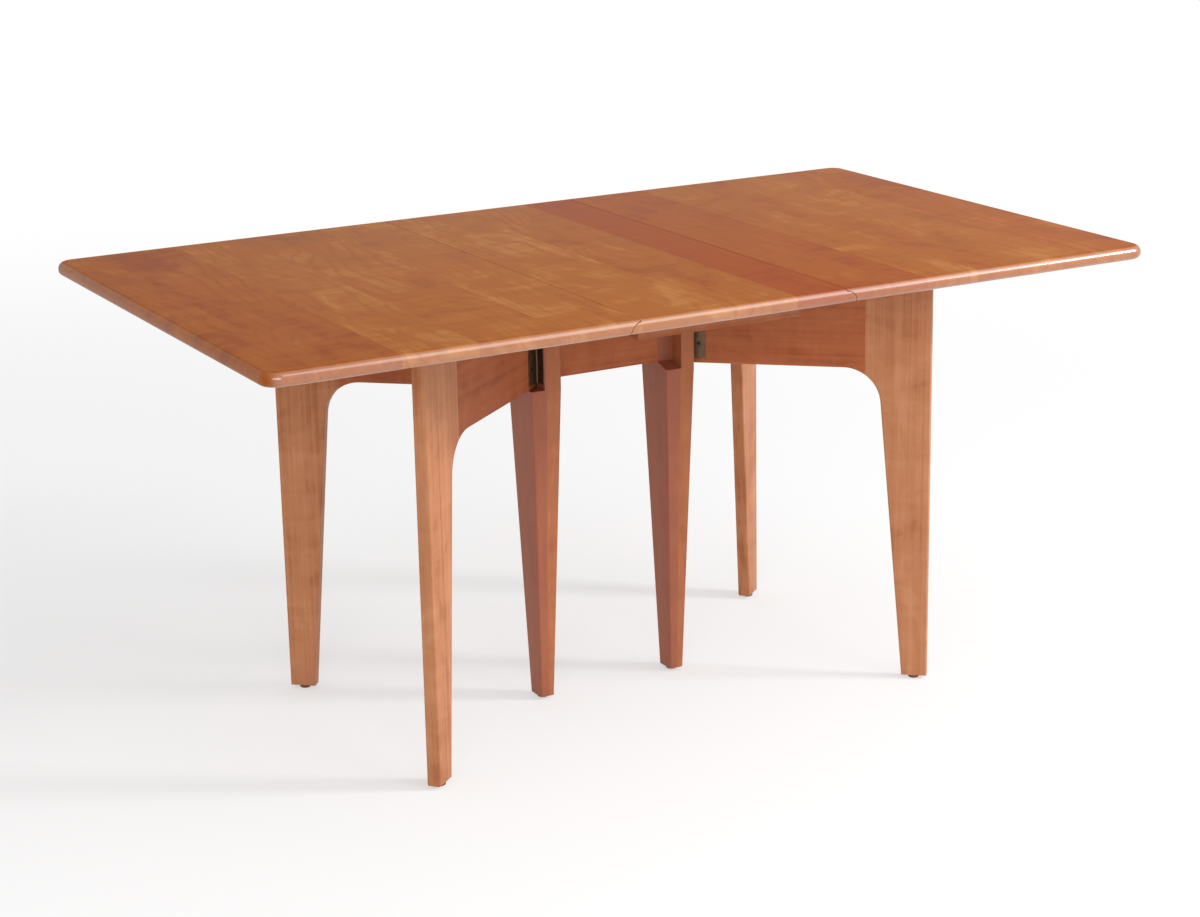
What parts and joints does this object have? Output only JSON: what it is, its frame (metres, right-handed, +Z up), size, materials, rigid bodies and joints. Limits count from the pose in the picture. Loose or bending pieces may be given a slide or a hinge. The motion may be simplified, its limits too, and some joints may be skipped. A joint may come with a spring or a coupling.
{
  "type": "gate-leg drop-leaf table",
  "caption": "Rectangular drop-leaf dining table in satin orange-brown wood, with swinging gate legs that carry its hinged leaves.",
  "frame": {"origin": "on the floor, under the centre of the table top", "axes": "+X along the table's length across both leaves, +Y from the front edge to the rear edge, +Z up"},
  "size_m": [1.524, 0.889, 0.737],
  "materials": {
    "top_wood": "satin",
    "leg_wood": "satin",
    "rail_wood": "satin",
    "gate_hinge_bronze": "satin",
    "hinge_pin_brass": "satin",
    "leaf_hinge_steel": "satin",
    "screw_black": "satin",
    "glide_plastic": "matte"
  },
  "bodies": {
    "frame": {"centre_panel": "top_wood", "left_post": "leg_wood", "right_post": "leg_wood", "centre_rail": "rail_wood", "front_batten": "rail_wood", "rear_batten": "rail_wood", "front_rail_cleat": "rail_wood", "rear_rail_cleat": "rail_wood", "left_post_glide": "glide_plastic", "right_post_glide": "glide_plastic", "top_fixing_screws": "screw_black", "left_post_hinge_screws": "screw_black", "right_post_hinge_screws": "screw_black", "left_leaf_hinge_fixed_plates": "leaf_hinge_steel", "right_leaf_hinge_fixed_plates": "leaf_hinge_steel", "left_leaf_hinge_pins": "leaf_hinge_steel", "right_leaf_hinge_pins": "leaf_hinge_steel", "centre_panel_hinge_screws": "screw_black", "left_front_post_hinge_plate": "gate_hinge_bronze", "left_front_gate_pin": "hinge_pin_brass", "left_rear_post_hinge_plate": "gate_hinge_bronze", "left_rear_gate_pin": "hinge_pin_brass", "right_front_post_hinge_plate": "gate_hinge_bronze", "right_front_gate_pin": "hinge_pin_brass", "right_rear_post_hinge_plate": "gate_hinge_bronze", "right_rear_gate_pin": "hinge_pin_brass"},
    "left_leaf": {"left_leaf": "top_wood", "left_leaf_hinge_moving_plates": "leaf_hinge_steel", "left_leaf_screws": "screw_black", "left_front_gate_stop": "rail_wood", "left_rear_gate_stop": "rail_wood"},
    "right_leaf": {"right_leaf": "top_wood", "right_leaf_hinge_moving_plates": "leaf_hinge_steel", "right_leaf_screws": "screw_black", "right_front_gate_stop": "rail_wood", "right_rear_gate_stop": "rail_wood"},
    "left_front_gate": {"left_front_gate_apron": "rail_wood", "left_front_gate_leg": "leg_wood", "left_front_gate_glide": "glide_plastic", "left_front_gate_hinge_plate": "gate_hinge_bronze", "left_front_gate_hinge_screws": "screw_black"},
    "left_rear_gate": {"left_rear_gate_apron": "rail_wood", "left_rear_gate_leg": "leg_wood", "left_rear_gate_glide": "glide_plastic", "left_rear_gate_hinge_plate": "gate_hinge_bronze", "left_rear_gate_hinge_screws": "screw_black"},
    "right_front_gate": {"right_front_gate_apron": "rail_wood", "right_front_gate_leg": "leg_wood", "right_front_gate_glide": "glide_plastic", "right_front_gate_hinge_plate": "gate_hinge_bronze", "right_front_gate_hinge_screws": "screw_black"},
    "right_rear_gate": {"right_rear_gate_apron": "rail_wood", "right_rear_gate_leg": "leg_wood", "right_rear_gate_glide": "glide_plastic", "right_rear_gate_hinge_plate": "gate_hinge_bronze", "right_rear_gate_hinge_screws": "screw_black"}
  },
  "joints": [
    {"name": "left_leaf_hinge", "type": "hinge", "parent": "frame", "child": "left_leaf", "pos_m": [-0.179, 0, 0.7162], "axis": [0, 1, 0], "range_deg": [0, 2]},
    {"name": "right_leaf_hinge", "type": "hinge", "parent": "frame", "child": "right_leaf", "pos_m": [0.179, 0, 0.7162], "axis": [0, -1, 0], "range_deg": [0, 2]},
    {"name": "left_front_gate_hinge", "type": "hinge", "parent": "frame", "child": "left_front_gate", "pos_m": [-0.13, -0.0195, 0.63], "axis": [0, 0, 1], "range_deg": [0, 49.6]},
    {"name": "left_rear_gate_hinge", "type": "hinge", "parent": "frame", "child": "left_rear_gate", "pos_m": [-0.15315, 0.016, 0.63], "axis": [0, 0, -1], "range_deg": [0, 49]},
    {"name": "right_front_gate_hinge", "type": "hinge", "parent": "frame", "child": "right_front_gate", "pos_m": [0.15315, -0.016, 0.63], "axis": [0, 0, -1], "range_deg": [0, 49]},
    {"name": "right_rear_gate_hinge", "type": "hinge", "parent": "frame", "child": "right_rear_gate", "pos_m": [0.13, 0.0195, 0.63], "axis": [0, 0, 1], "range_deg": [0, 49.6]}
  ]
}
